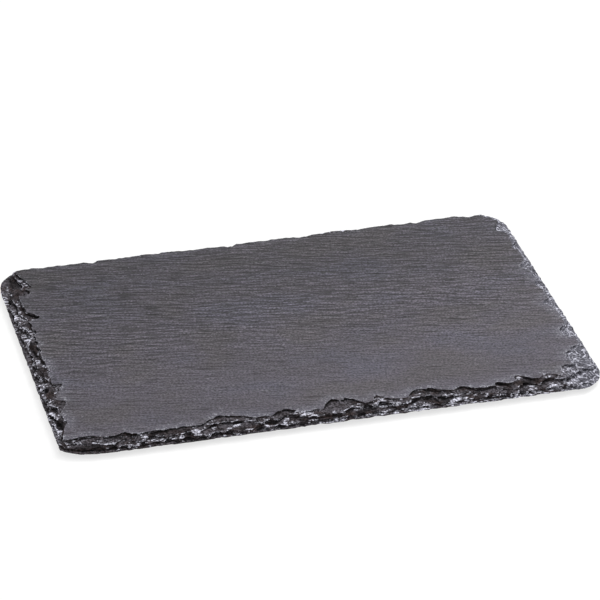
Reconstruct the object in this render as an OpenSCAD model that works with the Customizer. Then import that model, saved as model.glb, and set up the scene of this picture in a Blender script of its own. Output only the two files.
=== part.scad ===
// Slate serving board: a riven stone slab with hand dressed edges on four
// soft feet, each held by a film of adhesive.
// The origin lies on the table, under the middle of the board. X runs along
// the long side to the right, Y away from the front edge and Z up.
// All sizes are in millimetres.

/* [Slab] */
// Length of the slab over its lower corner line
board_l = 300; // [240:1:400]
// Width of the slab over its lower corner line
board_w = 200; // [170:1:280]
// Thickness of the slab
slab_t = 6; // [5:0.1:9]
// Usual radius of the corners, seen from above
corner_r = 16; // [12:1:20]

/* [Dressed edge] */
// Usual width of the sloping edge between its large flakes
bevel_w = 7; // [4:0.1:9]
// Reach of a full flake across the top face
scar_reach = 16; // [10:0.1:20]
// Length along the edge of each half of a full flake
scar_span = 20; // [12:0.5:30]
// Height of the sharp outer corner line above the underside
arris_h = 0.9; // [0.5:0.05:1.2]
// Depth of the nicks in that line
nick_depth = 0.4; // [0.1:0.05:0.8]
// How far the underside is chipped away inside that line
under_bevel = 1.2; // [0.5:0.1:3]
// Number of laminae that split apart in the edge
lamina_count = 3; // [2:1:5]
// Least width of a ledge between two laminae
ledge_min = 0.3; // [0.1:0.05:1]
// Slant of the broken face of a lamina
riser_run = 0.5; // [0.2:0.05:1]
// Length along the edge over which a seam rises or falls
seam_l = 24; // [16:1:40]
// Length along the edge of a shell shaped break in the top lamina
shell_l = 26; // [16:1:40]
// Length along the edge of a small chip
chip_l = 7; // [5:0.5:12]
// Reach of a small chip
chip_reach = 1.6; // [0.4:0.1:3]

/* [Feet] */
// Diameter of a foot pad
foot_d = 12; // [8:0.5:20]
// Thickness of a foot pad
foot_t = 2; // [1.5:0.1:5]
// Rounding of the lower edge of a foot pad
foot_edge_r = 0.5; // [0.2:0.1:1]
// Distance from the sides of the slab to the middle of a foot
foot_inset = 30; // [24:1:50]
// Thickness of the adhesive film
film_t = 0.2; // [0.1:0.05:0.5]
// Margin between the film and the edge of the pad
film_margin = 0.5; // [0.2:0.1:1.5]

/* [Hidden] */

// Distance between two stations along a side
station_pitch = 1.9;
// Stations on each corner
corner_steps = 9;
// Distance from the corner line to the inner outline of the loft
loft_reach = 30;
// Corner radius of that inner outline
inner_r = 4;
// Segments round a foot, and segments of the rounding of its lower edge
round_steps = 64;
edge_steps = 5;

// The four sides follow each other anticlockwise, seen from above: front,
// right, back and left. Corner k lies where side k starts.
foot_names = ["front_left", "front_right", "back_right", "back_left"];
headings = [[1, 0], [0, 1], [-1, 0], [0, -1]];
corner_signs = [[-1, -1], [1, -1], [1, 1], [-1, 1]];
side_l = [board_l, board_w, board_l, board_w];
side_start = [0, board_l, board_l + board_w, 2 * board_l + board_w];
perimeter = 2 * (board_l + board_w);

// Radii of each corner along X and Y, as shares of the usual radius
corner_shares = [[1.75, 0.62], [1.06, 1.1], [1, 1], [0.75, 1.38]];

// Width of the sloping edge along each side: place on the side and share of
// the usual width
bevel_shares = [
    [[0, 0.5], [0.04, 1.1], [0.2, 1], [0.5, 1], [0.8, 1], [0.92, 1.3], [1, 1.5]],
    [[0, 1.5], [0.12, 0.9], [0.2, 0.6], [0.5, 0.75], [1, 0.8]],
    [[0, 0.8], [0.1, 0.65], [0.5, 0.7], [0.95, 0.65], [1, 0.7]],
    [[0, 0.7], [0.1, 1.1], [0.3, 1.1], [0.8, 1.05], [0.88, 0.8], [0.95, 0.5], [1, 0.5]]
];

// The large flakes of each side: place of the deepest point on the side,
// half length before it, half length after it, reach across the top face,
// and depth below the top face as a share of the thickness
scar_shares = [
    [
        [0.053, 1.25, 0.8, 0.55, 0.45], [0.11, 0.4, 0.45, 0.64, 0.6], [0.197, 0.8, 0.75, 0.49, 0.35],
        [0.293, 0.9, 1.5, 0.84, 0.55], [0.413, 0.7, 0.7, 0.72, 0.5], [0.505, 0.55, 0.9, 0.95, 0.22],
        [0.533, 0.5, 0.55, 0.88, 0.4], [0.59, 0.35, 0.35, 0.84, 0.55], [0.667, 0.75, 1.7, 0.86, 0.5],
        [0.747, 0.6, 0.6, 0.66, 0.6], [0.815, 0.35, 0.5, 0.66, 0.4], [0.863, 0.45, 0.45, 0.91, 0.45],
        [0.912, 0.6, 0.7, 0.77, 0.6], [0.985, 1.3, 1.3, 1, 0.5]
    ],
    [
        [0.078, 1.2, 1.3, 1.02, 0.3], [0.232, 0.22, 1.1, 0.66, 0.45], [0.425, 0.45, 0.5, 0.57, 0.4],
        [0.54, 0.6, 0.6, 0.47, 0.5], [0.655, 0.75, 0.6, 0.56, 0.5], [0.77, 0.5, 0.8, 0.44, 0.35],
        [0.9, 0.7, 0.7, 0.6, 0.5]
    ],
    [
        [0.06, 0.7, 0.7, 0.47, 0.5], [0.167, 0.5, 0.5, 0.39, 0.4], [0.293, 0.5, 0.7, 0.43, 0.4],
        [0.4, 0.6, 0.6, 0.4, 0.5], [0.553, 0.5, 0.5, 0.42, 0.4], [0.7, 0.4, 0.5, 0.4, 0.4],
        [0.827, 0.45, 0.45, 0.41, 0.4]
    ],
    [
        [0.07, 0.9, 1.1, 0.97, 0.75], [0.085, 0.25, 0.25, 1.07, 0.15], [0.125, 0.3, 0.55, 0.94, 0.45],
        [0.285, 0.5, 0.4, 0.89, 0.45], [0.38, 0.8, 0.8, 0.55, 0.6], [0.475, 0.9, 0.9, 0.53, 0.7],
        [0.6, 0.8, 0.8, 0.52, 0.6], [0.69, 0.12, 0.8, 0.78, 0.3], [0.79, 0.45, 0.75, 0.7, 0.35],
        [0.885, 0.6, 0.5, 0.47, 0.65]
    ]
];
// A flake is hollow: its face is steep at the rim and flattens outwards
hollow_share = 0.6;
// Roundness of a flake's outline, from 1 for a straight notch to 2 for a bow
outline_share = 1.5;
// Rise of a ledge towards the lamina above it, from the least, in the middle of
// a chip or a shell, to the most, at its ends
ledge_rise_shares = [0.05, 0.9];
// How far the seams wander up and down, as a share of a lamina
seam_share = 0.38;
// How far the corner line wanders up and down, as a share of its height
arris_share = 0.3;
// Part of a lamina's setback that its shell shaped breaks leave standing
standing_share = 0.1;
// Length of the shells of the lowest lamina, and what each higher one adds
shell_shares = [0.3, 0.25];
// Depth of the shells, from least to most
shell_depth_shares = [0.5, 1.3];
// Shift of the chips from one level to the next, and stretch of the cells of
// chips and shells
chip_shift_share = 0.37;
chip_stretch_share = 2;
shell_stretch_share = 1.8;
// Least width of the chipped strip along the underside
under_share = 0.5;
// Seeds of the chips, the shells and the seams
chip_seed = 21;
shell_seed = 41;
seam_seed = 61;

slab_z = foot_t + film_t;
lamina_t = (slab_t - arris_h) / lamina_count;

// Seeded rows of numbers, one row for each level of the edge, so that the
// chips, the shells and the seams are the same each time
chip_cells = round(perimeter / chip_l);
seam_cells = round(perimeter / seam_l);
chip_rows = [for (level = [0 : lamina_count]) rands(0, 1, chip_cells, chip_seed + level)];
seam_rows = [for (level = [0 : lamina_count]) rands(0, 1, seam_cells, seam_seed + level)];

function shell_cells(level) =
    let (share = shell_shares[0] + shell_shares[1] * (level - 1))
    round(perimeter / (shell_l * share));

shell_rows = [for (level = [1 : lamina_count])
    rands(shell_depth_shares[0], shell_depth_shares[1], shell_cells(level), shell_seed + level)];

// Value of a closed row between two of its cells, blended smoothly
function blended(row, place) =
    let (cell = floor(place), u = place - cell, n = len(row))
    let (a = row[cell % n], b = row[(cell + 1) % n])
    a + (b - a) * (1 - cos(180 * u)) / 2;

// Reach of the chip in a closed row, which is hollow between its two ends
function scallop(row, place) =
    let (cell = floor(place), u = place - cell)
    row[cell % len(row)] * (1 - pow(2 * u - 1, 2));

function seam_at(level, place) = blended(seam_rows[level], place * seam_cells / perimeter);

function chip_at(level, place) =
    let (stretch = chip_stretch_share * seam_at(0, place))
    scallop(chip_rows[level], place * chip_cells / perimeter + chip_shift_share * level + stretch);

function shell_at(level, place) =
    let (row = shell_rows[level - 1], stretch = shell_stretch_share * seam_at(0, place))
    scallop(row, place * len(row) / perimeter + stretch);

// Way along the perimeter from one place to another, the short way round
function way(from, to) =
    let (d = to - from)
    d > perimeter / 2 ? d - perimeter : d < -perimeter / 2 ? d + perimeter : d;

// An outline of four straight sides and four elliptic corners. The size is
// its length and width, and radii holds a pair along X and Y per corner.
function radius_along(k, heading, radii) = heading[0] != 0 ? radii[k][0] : radii[k][1];

function arc_point(k, t, size, radii) =
    let (before = headings[(k + 3) % 4], after = headings[k])
    let (r_in = radius_along(k, before, radii), r_out = radius_along(k, after, radii))
    let (corner = [corner_signs[k][0] * size[0], corner_signs[k][1] * size[1]] / 2)
    corner + before * r_in * (sin(90 * t) - 1) + after * r_out * (1 - cos(90 * t));

function side_point(k, t, size, radii) =
    let (first = arc_point(k, 1, size, radii), last = arc_point((k + 1) % 4, 0, size, radii))
    first + (last - first) * t;

outer_size = [board_l, board_w];
inner_size = [board_l - 2 * loft_reach, board_w - 2 * loft_reach];
outer_radii = corner_r * corner_shares;
inner_radii = [for (k = [0 : 3]) [inner_r, inner_r]];

// Stations round the slab, each with the outer end and the inner end of its
// ray and its place on the perimeter of the sharp outer rectangle
function arc_stations(k) =
    let (r_in = radius_along(k, headings[(k + 3) % 4], outer_radii))
    let (r_out = radius_along(k, headings[k], outer_radii))
    [for (j = [0 : corner_steps - 1]) let (t = j / corner_steps) [
        arc_point(k, t, outer_size, outer_radii),
        arc_point(k, t, inner_size, inner_radii),
        (side_start[k] - r_in + (r_in + r_out) * t + perimeter) % perimeter
    ]];

function side_stations(k) =
    let (first = radius_along(k, headings[k], outer_radii))
    let (last = side_l[k] - radius_along((k + 1) % 4, headings[k], outer_radii))
    let (steps = round((last - first) / station_pitch))
    [for (j = [0 : steps - 1]) let (t = j / steps) [
        side_point(k, t, outer_size, outer_radii),
        side_point(k, t, inner_size, inner_radii),
        side_start[k] + first + (last - first) * t
    ]];

stations = [for (k = [0 : 3]) each concat(arc_stations(k), side_stations(k))];

// Slope widths and flakes with their places on the whole perimeter
bevels = [for (k = [0 : 3]) for (b = bevel_shares[k]) [side_start[k] + b[0] * side_l[k], b[1] * bevel_w]];
scars = [for (k = [0 : 3]) for (s = scar_shares[k])
    [side_start[k] + s[0] * side_l[k], s[1] * scar_span, s[2] * scar_span, s[3] * scar_reach, s[4]]];

// Depth of a level below the top face, as a share of the thickness. Level 0
// is the corner line and the last level is the rim of the top face.
function depth_of(level) = (lamina_count - level) * lamina_t / slab_t;

function scar_inset(scar, place, depth) =
    let (d = way(scar[0], place))
    let (span = d < 0 ? scar[1] : scar[2])
    let (along = 1 - pow(abs(d) / span, outline_share), down = 1 - depth / scar[4])
    along > 0 && down > 0 ? scar[3] * along * pow(down, hollow_share) : 0;

// How far a level lies inside the corner line where nothing holds it back
function broken_inset(level, place) =
    let (slope = lookup(place, bevels) * (1 - depth_of(level) / depth_of(0)))
    let (shell = level == lamina_count ? 1 : standing_share + (1 - standing_share) * shell_at(level, place))
    let (flakes = [for (scar = scars) scar_inset(scar, place, depth_of(level))])
    max(slope * shell, max(flakes)) + chip_reach * chip_at(level, place);

// Insets of the levels from the corner line up to one level. Each lamina
// ends a little inside the one below it.
function insets(level, place) = level == 0
    ? [nick_depth * max(0, 2 * chip_at(0, place) - 1)]
    : let (below = insets(level - 1, place))
        concat(below, [max(broken_inset(level, place), below[level - 1] + ledge_min + riser_run)]);

// Height of a level
function level_z(level, place) =
    let (wander = 2 * seam_at(level, place) - 1)
    level == 0 ? arris_h * (1 + arris_share * wander)
        : level == lamina_count ? slab_t
        : arris_h + lamina_t * (level + seam_share * wander);

// Height at which the ledge below a level ends. The broken face above it is
// tall in the middle of a chip or a shell and fades out at its ends.
function ledge_z(level, place) =
    let (low = level_z(level - 1, place), high = level_z(level, place))
    let (u = 1 - min(1, max(chip_at(level, place), shell_at(level, place))))
    low + (high - low) * (ledge_rise_shares[0] + (ledge_rise_shares[1] - ledge_rise_shares[0]) * u);

// Profile of the edge at one place, from the underside to the rim of the top
// face, as pairs of inset and height
function profile(place) =
    let (inset = insets(lamina_count, place))
    concat(
        [[inset[0] + under_bevel * (under_share + chip_at(1, place)), 0], [inset[0], level_z(0, place)]],
        [for (level = [1 : lamina_count]) each [
            [inset[level] - riser_run, ledge_z(level, place)],
            [inset[level], level_z(level, place)]
        ]]
    );

module slate_slab() {
    profiles = [for (station = stations) profile(station[2])];
    n = len(stations);
    rings = len(profiles[0]);
    points = [for (ring = [0 : rings - 1]) for (j = [0 : n - 1])
        let (start = stations[j][0], end = stations[j][1], p = profiles[j][ring])
        let (at = start + (end - start) * p[0] / loft_reach)
        [at[0], at[1], p[1]]
    ];
    // The diagonals alternate, so that the broken faces don't lean one way
    band = [for (ring = [0 : rings - 2]) for (j = [0 : n - 1])
        let (a = ring * n + j, b = ring * n + (j + 1) % n, c = a + n, d = b + n)
        each (ring + j) % 2 == 0 ? [[a, c, d], [a, d, b]] : [[a, c, b], [b, c, d]]
    ];
    underside = [for (j = [0 : n - 1]) j];
    top = [for (j = [n - 1 : -1 : 0]) (rings - 1) * n + j];
    color([0.36, 0.36, 0.39])
        translate([0, 0, slab_z])
            polyhedron(points = points, faces = concat([underside], band, [top]));
}

// Middle of one foot, seen from above
function foot_at(k) = [
    corner_signs[k][0] * (board_l / 2 - foot_inset),
    corner_signs[k][1] * (board_w / 2 - foot_inset),
    0
];

// Film of adhesive between the underside of the slab and a pad
module foot_film(k) {
    color([0.85, 0.85, 0.82])
        translate(foot_at(k) + [0, 0, foot_t])
            cylinder(d = foot_d - 2 * film_margin, h = film_t, $fn = round_steps);
}

// Soft pad with a rounded lower edge
module foot_pad(k) {
    rounding = [for (j = [0 : edge_steps]) let (a = 90 * j / edge_steps)
        [foot_d / 2 - foot_edge_r * (1 - sin(a)), foot_edge_r * (1 - cos(a))]];
    color([0.13, 0.13, 0.14])
        translate(foot_at(k))
            rotate_extrude($fn = round_steps)
                polygon(concat([[0, 0]], rounding, [[foot_d / 2, foot_t], [0, foot_t]]));
}

slate_slab();
for (k = [0 : 3]) {
    foot_film(k);
    foot_pad(k);
}
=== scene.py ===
"""Looks of a slate serving board: a riven stone slab with flaked edges on four stick-on pads.

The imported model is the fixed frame. The slab is made again from it with finer breaks and riven
faces, the pads and their adhesive films keep their solids, and a studio with a long lens looks at
the board from the photograph's angle. Lengths are in metres unless a name says otherwise.
"""

import logging
import math
from collections.abc import Iterable
from dataclasses import dataclass, field, replace
from enum import Enum, IntEnum
from functools import partial, reduce
from typing import ClassVar

import bmesh
import bpy
from mathutils import Euler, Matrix, Vector, kdtree, noise


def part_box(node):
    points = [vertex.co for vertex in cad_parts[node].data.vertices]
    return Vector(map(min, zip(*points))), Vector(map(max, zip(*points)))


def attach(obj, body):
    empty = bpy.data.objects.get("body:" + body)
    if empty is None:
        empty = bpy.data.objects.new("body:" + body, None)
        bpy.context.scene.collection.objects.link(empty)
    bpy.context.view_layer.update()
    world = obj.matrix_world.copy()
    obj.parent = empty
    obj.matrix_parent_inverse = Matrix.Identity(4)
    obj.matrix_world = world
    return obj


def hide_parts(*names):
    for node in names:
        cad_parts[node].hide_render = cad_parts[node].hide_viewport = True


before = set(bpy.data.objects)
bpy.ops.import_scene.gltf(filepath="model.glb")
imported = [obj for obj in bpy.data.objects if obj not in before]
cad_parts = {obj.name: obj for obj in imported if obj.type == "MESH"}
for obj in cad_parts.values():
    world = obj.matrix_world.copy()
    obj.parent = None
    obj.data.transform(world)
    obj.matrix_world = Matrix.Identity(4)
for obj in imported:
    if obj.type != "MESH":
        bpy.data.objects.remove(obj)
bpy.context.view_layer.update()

LOG = logging.getLogger("slate_board")
MM = 0.001
VIEW_AZIMUTH = math.radians(-14.40)
VIEW_ELEVATION = math.radians(29.75)
# Half the board's length and width, and ten millimetres of height
HALVES_MM = (150.0, 100.0, 10.0)
# How far the stone's grain is turned from the long side
GRAIN_TURN = math.radians(12.0)

Range = tuple[float, float]
Triple = tuple[float, float, float]
Slope = tuple[float, float, float, float]
Socket = bpy.types.NodeSocket


class Mark(Enum):
    """Names of the values that the slab's mesh carries for its finish."""

    PATCH = "patch"
    CRUSHED = "crushed"
    # How deep a corner lies in the hollows of the breaks, which the broken finish darkens as
    # painted shade.
    HOLLOW_SHADE = "hollow"
    RIM = "rim"


class Skin(IntEnum):
    """The slab's two material slots."""

    RIVEN = 0
    BROKEN = 1


@dataclass(frozen=True)
class Grain:
    """A fractal noise: size of its cells along X, Y and Z, octaves, and where it is drawn."""

    sizes_mm: Triple
    detail: float = 3.0
    roughness: float = 0.6
    shift: float = 0.0
    bend: float = 0.0
    turn: float = 0.0
    slide: float = 0.0


class Wiring:
    """Adds nodes to one material or world and links them."""

    def __init__(self, owner: bpy.types.Material | bpy.types.World) -> None:
        """Empties the owner's node tree.

        Args:
            owner: Material or world whose tree is wired.
        """
        owner.use_nodes = True
        self.tree = owner.node_tree
        self.tree.nodes.clear()

    def add(self, kind: str, **values: object) -> bpy.types.Node:
        """Adds a node and sets its inputs or its properties by name.

        Args:
            kind: Node type without the ShaderNode prefix.
            **values: Input values or links, with spaces written as underscores, or properties.

        Returns:
            The new node.
        """
        node = self.tree.nodes.new("ShaderNode" + kind)
        sockets = {}
        for name, value in values.items():
            title = name.replace("_", " ").title()
            if hasattr(node, name) and title not in node.inputs:
                setattr(node, name, value)
            else:
                sockets[title] = value
        for title, value in sockets.items():
            self.feed(node.inputs[title], value)
        return node

    def feed(self, socket: Socket, value: object) -> None:
        """Links or sets one input.

        Args:
            socket: Input to fill.
            value: Output socket of another node, or a plain value.
        """
        if isinstance(value, Socket):
            self.tree.links.new(value, socket)
        elif isinstance(value, tuple) and len(value) == 3 and socket.type == "RGBA":
            socket.default_value = (*value, 1.0)
        else:
            socket.default_value = value

    def math(self, operation: str, *terms: object) -> Socket:
        """Works out a number from others.

        Args:
            operation: Name of the operation, such as MULTIPLY.
            *terms: Sockets or numbers.

        Returns:
            The result's socket.
        """
        node = self.tree.nodes.new("ShaderNodeMath")
        node.operation = operation
        for socket, term in zip(node.inputs, terms):
            self.feed(socket, term)
        return node.outputs[0]

    def product(self, *terms: object) -> Socket:
        """Multiplies sockets or numbers and gives the result's socket."""
        return reduce(partial(self.math, "MULTIPLY"), terms)

    def total(self, *terms: object) -> Socket:
        """Adds up sockets or numbers and gives the result's socket."""
        return reduce(partial(self.math, "ADD"), terms)

    def ramp(self, value: object, low: object, high: object,
             start: object = 0.0, end: object = 1.0) -> Socket:
        """Maps a range of a number to another, smoothly and without going beyond.

        Args:
            value: Number to map. This and what follows are sockets or numbers.
            low: Where the range starts.
            high: Where the range ends.
            start: Result at low.
            end: Result at high.

        Returns:
            The mapped number's socket.
        """
        node = self.tree.nodes.new("ShaderNodeMapRange")
        node.interpolation_type = "SMOOTHSTEP"
        for socket, term in zip(node.inputs, (value, low, high, start, end)):
            self.feed(socket, term)
        return node.outputs[0]

    def between(self, share: Socket, values: tuple[object, object]) -> Socket:
        """Goes from the first value to the second as a share goes from zero to one."""
        return self.ramp(share, 0.0, 1.0, *values)

    def mix(self, share: object, first: object, second: object) -> Socket:
        """Blends two colours, with the given share of the second one."""
        node = self.add("Mix", data_type="RGBA", Factor=share, A=first, B=second)
        return node.outputs["Result"]

    def tone(self, colour: object, factor: object) -> Socket:
        """Makes a colour lighter or darker by a factor."""
        return self.add("VectorMath", operation="SCALE", Vector=colour, Scale=factor).outputs[0]

    def mark(self, mark: Mark) -> Socket:
        """Reads a value that the mesh carries."""
        return self.add("Attribute", attribute_name=mark.value).outputs["Fac"]

    def place(self, sizes_mm: Triple, turn: float = 0.0,
              shift: Triple = (0.0, 0.0, 0.0)) -> Socket:
        """Gives object coordinates in cells of a pattern.

        Args:
            sizes_mm: Size of a cell along X, Y and Z in millimetres.
            turn: Angle about Z by which the pattern is turned, in radians.
            shift: Offset of the pattern in cells.

        Returns:
            The coordinates' socket.
        """
        coordinates = self.tree.nodes.new("ShaderNodeTexCoord").outputs["Object"]
        turned = self.tree.nodes.new("ShaderNodeMapping")
        turned.inputs["Rotation"].default_value = (0.0, 0.0, turn)
        self.feed(turned.inputs["Vector"], coordinates)
        scaled = self.tree.nodes.new("ShaderNodeMapping")
        scaled.inputs["Scale"].default_value = tuple(1.0 / (size * MM) for size in sizes_mm)
        scaled.inputs["Location"].default_value = shift
        self.feed(scaled.inputs["Vector"], turned.outputs["Vector"])
        return scaled.outputs["Vector"]

    def halves(self) -> bpy.types.NodeOutputs:
        """Gives the place along X, Y and Z, where -1 and 1 are the board's opposite sides."""
        return self.add("SeparateXYZ", Vector=self.place(HALVES_MM)).outputs

    def grain(self, grain: Grain) -> Socket:
        """Gives fractal noise between zero and one.

        Args:
            grain: Sizes and character of the noise.

        Returns:
            The noise's socket.
        """
        shift = (grain.shift, grain.shift + grain.slide, grain.shift)
        node = self.add("TexNoise", Vector=self.place(grain.sizes_mm, grain.turn, shift), Scale=1.0,
                        Detail=grain.detail, Roughness=grain.roughness, Distortion=grain.bend)
        return node.outputs["Fac"]


@dataclass(frozen=True)
class Finish:
    """What all finishes share: a coloured, slightly uneven surface whose roughness varies.

    A range tells between which values of a pattern an effect comes in, and a slope also what it
    is at these two. A tone is a factor for the colour. Where a tone or an edge of a pattern has
    two values, they hold at the rear and at the front, or away from the right end and at it.
    """

    name: str
    roughness: Range
    relief: float
    strength: float = 1.0
    gloss: float = 0.5
    wear_range: ClassVar[Range] = (0.3, 0.7)

    def make(self) -> bpy.types.Material:
        """Builds the material.

        Returns:
            The finished material.
        """
        material = bpy.data.materials.new(self.name)
        wire = Wiring(material)
        colour, height, wear = self._surface(wire)
        bump = wire.add("Bump", Strength=self.strength, Distance=self.relief, Height=height)
        roughness = wire.ramp(wear, *self.wear_range, *self.roughness)
        shader = wire.add("BsdfPrincipled", Base_Color=colour, Roughness=roughness,
                          Normal=bump.outputs["Normal"])
        shader.inputs["Specular IOR Level"].default_value = self.gloss
        wire.add("OutputMaterial", Surface=shader.outputs[0])
        return material

    def _surface(self, wire: Wiring) -> tuple[Socket, Socket, Socket]:
        """Wires what is the finish's own.

        Args:
            wire: Wiring of the material.

        Returns:
            The colour, the height of the relief, and the number by which the roughness varies.
        """
        raise NotImplementedError


@dataclass(frozen=True)
class RivenFinish(Finish):
    """Split face of the slate: short dark and light streaks, speckles and faint tints, with painted
    light and shade on its ripples and across the face.
    """

    name: str = "riven_slate"
    roughness: Range = (0.5, 0.7)
    relief: float = 0.4 * MM
    gloss: float = 0.25

    stone: Triple = (0.0685, 0.0615, 0.077)
    blue_stone: Triple = (0.067, 0.063, 0.083)
    brown_stone: Triple = (0.066, 0.059, 0.068)
    mica: Triple = (0.26, 0.26, 0.29)
    grit: Triple = (0.36, 0.36, 0.40)
    frost: Triple = (0.15, 0.15, 0.19)

    crests: Grain = Grain((12.0, 1.35, 6.0), detail=0.0, roughness=0.5, shift=3.7, bend=0.3,
                          turn=GRAIN_TURN)
    troughs: Grain = replace(crests, slide=1.2)
    streaks: Grain = Grain((2.6, 1.0, 6.0), bend=0.2, turn=GRAIN_TURN)
    cracks: Grain = Grain((14.0, 1.3, 9.0), detail=0.0, roughness=0.5, shift=9.1, bend=0.1,
                          turn=GRAIN_TURN)
    specks: Grain = Grain((1.2, 1.0, 0.8), detail=2.0, shift=3.1, turn=GRAIN_TURN)
    clouds: Grain = Grain((45.0, 32.0, 30.0), detail=2.0, roughness=0.5, shift=11.7)
    tints: Grain = Grain((42.0, 30.0, 30.0), detail=2.0, roughness=0.5, shift=23.9)
    crumbs: Grain = Grain((1.3, 1.3, 1.3), detail=2.0, shift=41.3)
    bruises: Grain = Grain((18.0, 12.0, 12.0), detail=2.0, roughness=0.5, shift=71.3)
    dots: Grain = Grain((0.9, 1.2, 0.9), detail=2.0, shift=61.7)
    flakes_mm: Triple = (2.6, 2.0, 2.0)

    ripple_height: float = 1.2
    streak_height: float = 0.8
    speck_height: float = 0.25

    calming: Range = (0.2, -0.7)
    # Painted shade in the ripples' troughs and painted light on their crests, stronger towards the
    # rear.
    trough_range: Range = (0.32, 0.52)
    trough_shade_tone: Range = (0.46, 0.92)
    crest_range: Range = (0.52, 0.70)
    crest_light_tone: Range = (1.36, 1.04)
    streak_range: Range = (0.36, 0.64)
    dark_streak_tone: Range = (0.65, 0.84)
    light_streak_tone: Range = (1.35, 1.16)
    crack_edge: Range = (0.37, 0.34)
    crack_depth: Range = (0.29, 0.26)
    crack_tone: Range = (0.2, 0.55)
    speck_range: Range = (0.36, 0.64)
    dark_speck_tone: Range = (0.35, 0.5)
    light_speck_tone: Range = (1.65, 1.5)

    blue_range: Range = (0.50, 0.68)
    brown_range: Range = (0.50, 0.34)
    cloud_slope: Slope = (0.35, 0.65, 0.95, 1.05)
    # Painted light and shade across the face: lighter towards the right end and the front, darker
    # towards the rear.
    painted_light_length_slope: Slope = (-1.0, 1.0, 0.96, 1.10)
    painted_light_width_slope: Slope = (-1.0, 1.0, 1.11, 0.84)
    painted_rear_shade_slope: Slope = (0.0, 0.7, 1.0, 0.82)
    rim_range: Range = (0.88, 1.0)
    rear_rim_slope: Slope = (0.5, 0.8, 1.0, 0.3)

    mica_edge: Range = (0.16, 0.08)
    mica_choice: Range = (0.84, 0.9)
    mica_share: float = 0.8
    bruise_range: Range = (0.38, 0.54)
    bruise_slope: Slope = (-0.1, 0.6, 1.0, 0.2)
    frost_share: float = 0.3
    dot_range: Range = (0.54, 0.66)
    dot_share: float = 0.9
    crumb_range: Range = (0.50, 0.62)

    def _surface(self, wire: Wiring) -> tuple[Socket, Socket, Socket]:
        """Wires the split face.

        Args:
            wire: Wiring of the material.

        Returns:
            Colour, relief and wear, as in Finish.
        """
        ripples = wire.total(
            wire.math("SUBTRACT", wire.grain(self.crests), wire.grain(self.troughs)), 0.5)
        streaks = wire.grain(self.streaks)
        specks = wire.grain(self.specks)
        height = wire.total(wire.product(ripples, self.ripple_height),
                            wire.product(streaks, self.streak_height),
                            wire.product(specks, self.speck_height))
        along, back = wire.halves()[:2]

        def fade(values: Range) -> Socket:
            """Goes from a value in the rear half to another near the front."""
            return wire.ramp(back, *self.calming, *values)

        tone = wire.product(
            # Painted shade in the ripples' troughs and painted light on their crests.
            wire.ramp(ripples, *self.trough_range, fade(self.trough_shade_tone), 1.0),
            wire.ramp(ripples, *self.crest_range, 1.0, fade(self.crest_light_tone)),
            wire.ramp(streaks, *self.streak_range, fade(self.dark_streak_tone),
                      fade(self.light_streak_tone)),
            wire.ramp(wire.grain(self.cracks), fade(self.crack_edge), fade(self.crack_depth),
                      1.0, fade(self.crack_tone)),
            wire.ramp(specks, *self.speck_range, fade(self.dark_speck_tone),
                      fade(self.light_speck_tone)),
            wire.ramp(wire.grain(self.clouds), *self.cloud_slope),
            # Painted light and shade across the face: lighter towards the right end and the front,
            # darker towards the rear.
            wire.ramp(along, *self.painted_light_length_slope),
            wire.ramp(back, *self.painted_light_width_slope),
            wire.ramp(back, *self.painted_rear_shade_slope),
            wire.ramp(wire.mark(Mark.RIM), *self.rim_range, 1.0,
                      wire.ramp(back, *self.rear_rim_slope)))
        tints = wire.grain(self.tints)
        hue = wire.mix(wire.ramp(tints, *self.blue_range), self.stone, self.blue_stone)
        hue = wire.mix(wire.ramp(tints, *self.brown_range), hue, self.brown_stone)
        return self._specked(wire, back, wire.tone(hue, tone)), height, streaks

    def _specked(self, wire: Wiring, back: Socket, colour: Socket) -> Socket:
        """Lays mica flakes on the stone, and frost and grit along its bruised rim.

        Args:
            wire: Wiring of the material.
            back: Place from -1 at the front to 1 at the rear.
            colour: Colour of the stone.

        Returns:
            The colour's socket.
        """
        flakes = wire.add("TexVoronoi", Vector=wire.place(self.flakes_mm), Scale=1.0)
        near = wire.ramp(flakes.outputs["Distance"], *self.mica_edge)
        draw = wire.add("SeparateColor", Color=flakes.outputs["Color"]).outputs[0]
        chosen = wire.ramp(draw, *self.mica_choice)
        colour = wire.mix(wire.product(near, chosen, self.mica_share), colour, self.mica)
        bruised = wire.product(
            wire.mark(Mark.RIM), wire.ramp(wire.grain(self.bruises), *self.bruise_range),
            wire.ramp(back, *self.bruise_slope))
        colour = wire.mix(wire.product(bruised, self.frost_share), colour, self.frost)
        dots = wire.ramp(wire.grain(self.dots), *self.dot_range)
        colour = wire.mix(wire.product(bruised, dots, self.dot_share), colour, self.grit)
        crumbs = wire.ramp(wire.grain(self.crumbs), *self.crumb_range)
        return wire.mix(wire.product(wire.mark(Mark.CRUSHED), crumbs), colour, self.grit)


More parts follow.
